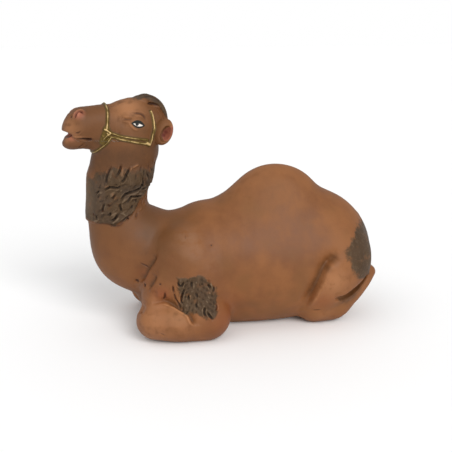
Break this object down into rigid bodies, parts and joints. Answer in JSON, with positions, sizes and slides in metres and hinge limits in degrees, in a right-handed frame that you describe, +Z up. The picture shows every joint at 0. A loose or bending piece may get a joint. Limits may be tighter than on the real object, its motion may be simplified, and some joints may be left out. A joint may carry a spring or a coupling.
{
  "type": "lying camel figure",
  "caption": "Small lying camel of fired clay with a raised bridle, a ruff of hair and a turned head, painted by hand, resting on its flat underside.",
  "frame": {"origin": "middle of the bounding box in X and Y, on the plane the underside rests on", "axes": "+X towards the tail, so the camel looks along -X; -Y is its left side; +Z up"},
  "size_m": [0.1376, 0.0642, 0.1027],
  "materials": {
    "painted_clay": "fired red clay, painted and washed by hand, satin to matt"
  },
  "bodies": {
    "root": {"camel_figure": "painted_clay"}
  },
  "joints": []
}
